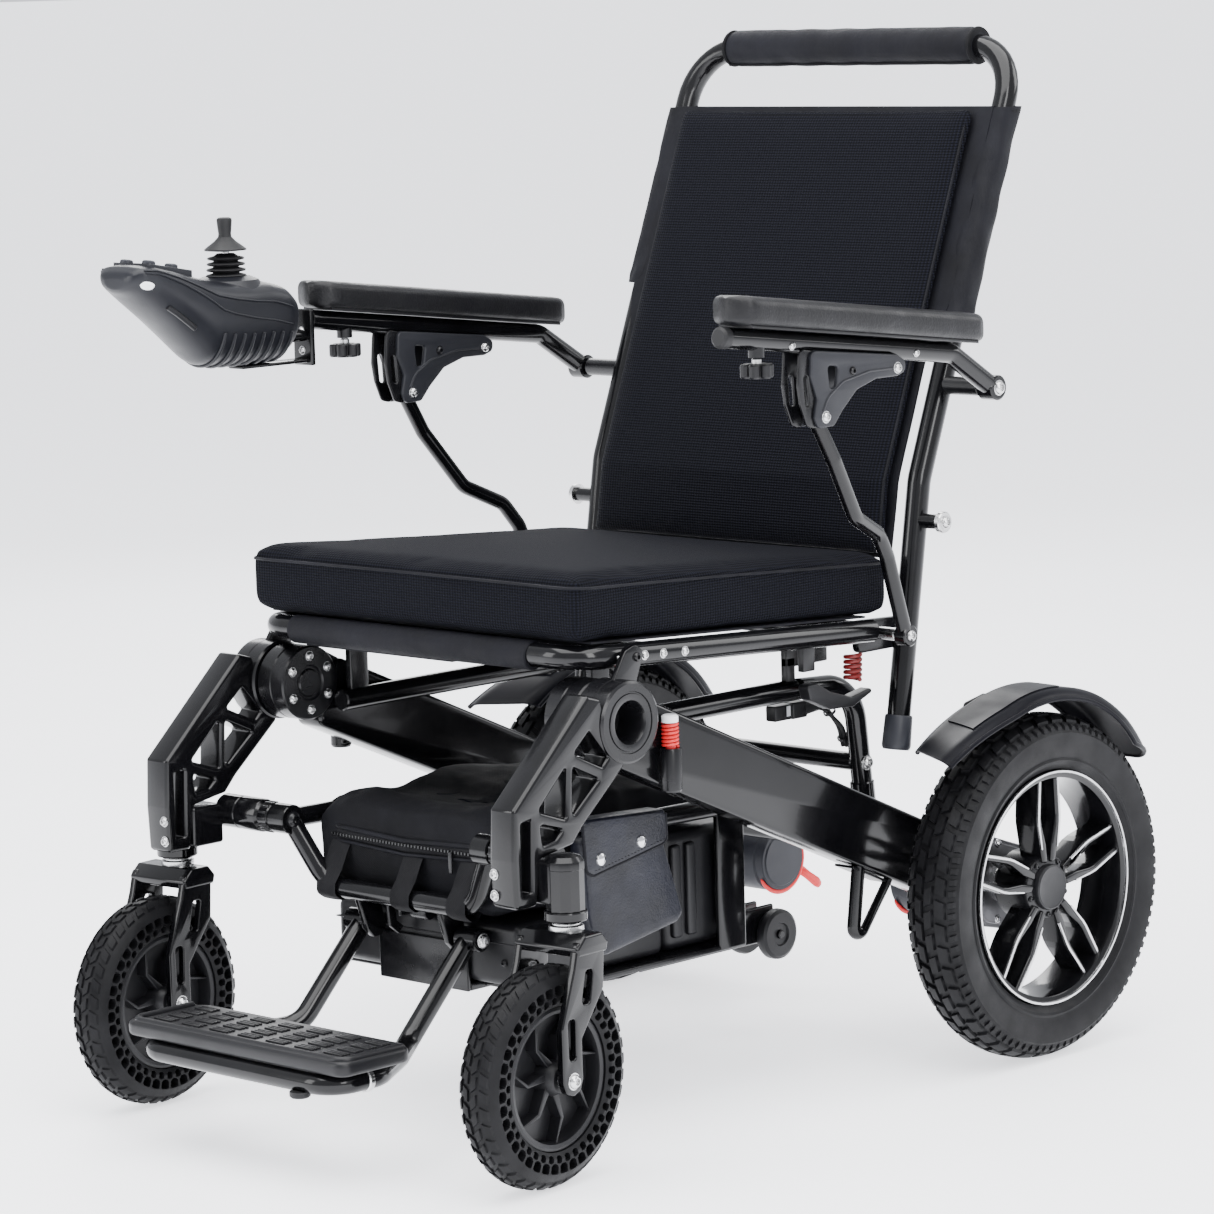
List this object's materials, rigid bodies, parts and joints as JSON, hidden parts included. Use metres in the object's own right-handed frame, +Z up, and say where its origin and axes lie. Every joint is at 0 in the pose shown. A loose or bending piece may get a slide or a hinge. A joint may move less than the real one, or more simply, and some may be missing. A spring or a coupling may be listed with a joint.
{
  "type": "folding power wheelchair",
  "caption": "Folding power wheelchair with a padded seat and back, flip-up armrests, a joystick controller, a flip-up footrest, swivel casters and driven rear wheels.",
  "frame": {"origin": "on the ground at the centre of the chair's footprint", "axes": "+Z up, -Y the way the chair faces, +X the user's left"},
  "size_m": [0.61, 0.9046, 0.9395],
  "materials": {
    "frame_paint": "gloss",
    "tyre_rubber": "matte",
    "wheel_alloy": "satin",
    "black_plastic": "matte",
    "grey_plastic": "matte",
    "seat_fabric": "matte",
    "nylon": "matte",
    "pad_skin": "matte",
    "red_plastic": "gloss",
    "bright_steel": "satin"
  },
  "bodies": {
    "rear_frame": {"main_beam_left": "frame_paint", "main_beam_right": "frame_paint", "rear_cross_tube": "frame_paint", "motor_left": "black_plastic", "motor_right": "black_plastic", "fender_left": "black_plastic", "fender_right": "black_plastic"},
    "front_frame": {"lattice_arm_left": "frame_paint", "lattice_arm_right": "frame_paint"},
    "tray": {"tray_frame": "frame_paint", "control_box": "black_plastic", "storage_bag": "nylon", "side_pouch": "nylon"},
    "battery": {"battery_pack": "black_plastic"},
    "footrest": {"footrest_frame": "frame_paint", "footplate": "black_plastic"},
    "roller": {"trolley_roller": "black_plastic"},
    "seat": {"seat_frame": "frame_paint", "seat_pan": "nylon", "seat_cushion": "seat_fabric"},
    "pedal": {"release_pedal": "black_plastic"},
    "link": {"support_link": "frame_paint", "harness_cable": "black_plastic"},
    "back": {"back_frame": "frame_paint", "back_sling": "nylon", "back_panel": "seat_fabric", "handle_sleeve": "nylon"},
    "controller": {"controller_bracket": "frame_paint", "controller_body": "black_plastic", "joystick_boot": "tyre_rubber"},
    "gimbal": {"joystick_gimbal": "bright_steel"},
    "stick": {"joystick": "black_plastic"},
    "power_key": {"power_button": "grey_plastic"},
    "horn_key": {"horn_button": "grey_plastic"},
    "slower_key": {"slower_button": "grey_plastic"},
    "faster_key": {"faster_button": "grey_plastic"},
    "arm_left_body": {"arm_left": "frame_paint", "arm_pad_left": "pad_skin"},
    "knob_left": {"clamp_knob_left": "black_plastic"},
    "strut_left": {"arm_strut_left": "frame_paint"},
    "fork_left_body": {"fork_left": "frame_paint"},
    "caster_wheel_left": {"caster_tyre_left": "tyre_rubber", "caster_rim_left": "black_plastic"},
    "rear_wheel_left": {"rear_tyre_left": "tyre_rubber", "rear_rim_left": "wheel_alloy"},
    "clutch_left": {"clutch_lever_left": "red_plastic"},
    "plunger_left": {"lock_plunger_left": "bright_steel"},
    "arm_right_body": {"arm_right": "frame_paint", "arm_pad_right": "pad_skin"},
    "knob_right": {"clamp_knob_right": "black_plastic"},
    "strut_right": {"arm_strut_right": "frame_paint"},
    "fork_right_body": {"fork_right": "frame_paint"},
    "caster_wheel_right": {"caster_tyre_right": "tyre_rubber", "caster_rim_right": "black_plastic"},
    "rear_wheel_right": {"rear_tyre_right": "tyre_rubber", "rear_rim_right": "wheel_alloy"},
    "clutch_right": {"clutch_lever_right": "red_plastic"},
    "plunger_right": {"lock_plunger_right": "bright_steel"}
  },
  "joints": [
    {"name": "front_fold", "type": "hinge", "parent": "rear_frame", "child": "front_frame", "pos_m": [0, -0.1935, 0.372], "axis": [1, 0, 0], "range_deg": [0, 52]},
    {"name": "seat_level", "type": "hinge", "parent": "front_frame", "child": "seat", "pos_m": [0, -0.1685, 0.4235], "axis": [1, 0, 0], "range_deg": [-57.1, 0]},
    {"name": "tray_level", "type": "hinge", "parent": "front_frame", "child": "tray", "pos_m": [0, -0.262, 0.262], "axis": [1, 0, 0], "range_deg": [-52.1, 0]},
    {"name": "link_fold", "type": "hinge", "parent": "rear_frame", "child": "link", "pos_m": [0, 0.188, 0.264], "axis": [1, 0, 0], "range_deg": [0, 22.1]},
    {"name": "back_fold", "type": "hinge", "parent": "seat", "child": "back", "pos_m": [0, 0.2085, 0.398], "axis": [1, 0, 0], "range_deg": [0, 60.1], "deforming": ["seat_cushion", "back_panel"]},
    {"name": "strut_fold_left", "type": "hinge", "parent": "seat", "child": "strut_left", "pos_m": [0.2265, 0.1735, 0.401], "axis": [1, 0, 0], "range_deg": [0, 67.6]},
    {"name": "strut_fold_right", "type": "hinge", "parent": "seat", "child": "strut_right", "pos_m": [-0.2265, 0.1735, 0.401], "axis": [1, 0, 0], "range_deg": [0, 67.6]},
    {"name": "arm_flip_left", "type": "hinge", "parent": "back", "child": "arm_left_body", "pos_m": [0.2575, 0.2635, 0.618], "axis": [1, 0, 0], "range_deg": [-95, 0]},
    {"name": "clamp_knob_turn_left", "type": "hinge", "parent": "arm_left_body", "child": "knob_left", "pos_m": [0.2575, -0.05, 0.66], "axis": [0, 0, 1], "continuous": true},
    {"name": "arm_flip_right", "type": "hinge", "parent": "back", "child": "arm_right_body", "pos_m": [-0.2575, 0.2635, 0.618], "axis": [1, 0, 0], "range_deg": [-95, 0]},
    {"name": "clamp_knob_turn_right", "type": "hinge", "parent": "arm_right_body", "child": "knob_right", "pos_m": [-0.2575, -0.05, 0.66], "axis": [0, 0, 1], "continuous": true},
    {"name": "controller_slide", "type": "slide", "parent": "arm_right_body", "child": "controller", "axis": [0, -0.9929, 0.1187], "range_m": [0, 0.05]},
    {"name": "joystick_side_tilt", "type": "hinge", "parent": "controller", "child": "gimbal", "pos_m": [-0.256, -0.194, 0.7315], "axis": [0, 1, 0], "range_deg": [-18, 18], "stiffness_Nm_per_rad": 0.15, "deforming": ["joystick_boot"]},
    {"name": "joystick_fore_tilt", "type": "hinge", "parent": "gimbal", "child": "stick", "pos_m": [-0.256, -0.194, 0.7315], "axis": [1, 0, 0], "range_deg": [-18, 18], "stiffness_Nm_per_rad": 0.15, "deforming": ["joystick_boot"]},
    {"name": "power_press", "type": "slide", "parent": "controller", "child": "power_key", "axis": [0, -0.1564, -0.9877], "range_m": [0, 0.0012], "stiffness_N_per_m": 100},
    {"name": "horn_press", "type": "slide", "parent": "controller", "child": "horn_key", "axis": [0, -0.1564, -0.9877], "range_m": [0, 0.0012], "stiffness_N_per_m": 100},
    {"name": "slower_press", "type": "slide", "parent": "controller", "child": "slower_key", "axis": [0, -0.1564, -0.9877], "range_m": [0, 0.0012], "stiffness_N_per_m": 100},
    {"name": "faster_press", "type": "slide", "parent": "controller", "child": "faster_key", "axis": [0, -0.1564, -0.9877], "range_m": [0, 0.0012], "stiffness_N_per_m": 100},
    {"name": "caster_swivel_left", "type": "hinge", "parent": "front_frame", "child": "fork_left_body", "pos_m": [0.2456, -0.289, 0.2185], "axis": [0, 0, 1], "continuous": true},
    {"name": "caster_spin_left", "type": "hinge", "parent": "fork_left_body", "child": "caster_wheel_left", "pos_m": [0.24854, -0.32478, 0.0943], "axis": [0.9966, 0.0819, 0], "continuous": true},
    {"name": "rear_wheel_spin_left", "type": "hinge", "parent": "rear_frame", "child": "rear_wheel_left", "pos_m": [0.2728, 0.2935, 0.159], "axis": [1, 0, 0], "continuous": true},
    {"name": "clutch_turn_left", "type": "hinge", "parent": "rear_frame", "child": "clutch_left", "pos_m": [0.0888, 0.3435, 0.135], "axis": [1, 0, 0], "range_deg": [0, 60]},
    {"name": "lock_plunger_lift_left", "type": "slide", "parent": "rear_frame", "child": "plunger_left", "axis": [0, 0, 1], "range_m": [0, 0.006], "stiffness_N_per_m": 400},
    {"name": "caster_swivel_right", "type": "hinge", "parent": "front_frame", "child": "fork_right_body", "pos_m": [-0.2456, -0.289, 0.2185], "axis": [0, 0, 1], "continuous": true},
    {"name": "caster_spin_right", "type": "hinge", "parent": "fork_right_body", "child": "caster_wheel_right", "pos_m": [-0.24266, -0.32478, 0.0943], "axis": [0.9966, 0.0819, 0], "continuous": true},
    {"name": "rear_wheel_spin_right", "type": "hinge", "parent": "rear_frame", "child": "rear_wheel_right", "pos_m": [-0.2728, 0.2935, 0.159], "axis": [1, 0, 0], "continuous": true},
    {"name": "clutch_turn_right", "type": "hinge", "parent": "rear_frame", "child": "clutch_right", "pos_m": [-0.0888, 0.3435, 0.135], "axis": [1, 0, 0], "range_deg": [0, 60]},
    {"name": "lock_plunger_lift_right", "type": "slide", "parent": "rear_frame", "child": "plunger_right", "axis": [0, 0, 1], "range_m": [0, 0.006], "stiffness_N_per_m": 400},
    {"name": "trolley_roller_spin", "type": "hinge", "parent": "tray", "child": "roller", "pos_m": [0, 0.22, 0.0945], "axis": [1, 0, 0], "continuous": true},
    {"name": "battery_slide", "type": "slide", "parent": "tray", "child": "battery", "axis": [0, 1, 0], "range_m": [0, 0.08]},
    {"name": "footrest_flip", "type": "hinge", "parent": "tray", "child": "footrest", "pos_m": [0, -0.229, 0.172], "axis": [1, 0, 0], "range_deg": [-70, 0]},
    {"name": "release_pedal_squeeze", "type": "hinge", "parent": "seat", "child": "pedal", "pos_m": [0.192, 0.079, 0.359], "axis": [1, 0, 0], "range_deg": [0, 12], "stiffness_Nm_per_rad": 4}
  ],
  "couplings": [
    {"joint": "seat_level", "follows": "front_fold", "ratio": -1.0962},
    {"joint": "tray_level", "follows": "front_fold", "ratio": -1},
    {"joint": "link_fold", "follows": "front_fold", "ratio": 0.4231},
    {"joint": "back_fold", "follows": "front_fold", "ratio": 1.1538},
    {"joint": "strut_fold_left", "follows": "front_fold", "ratio": 1.2981},
    {"joint": "strut_fold_right", "follows": "front_fold", "ratio": 1.2981}
  ]
}
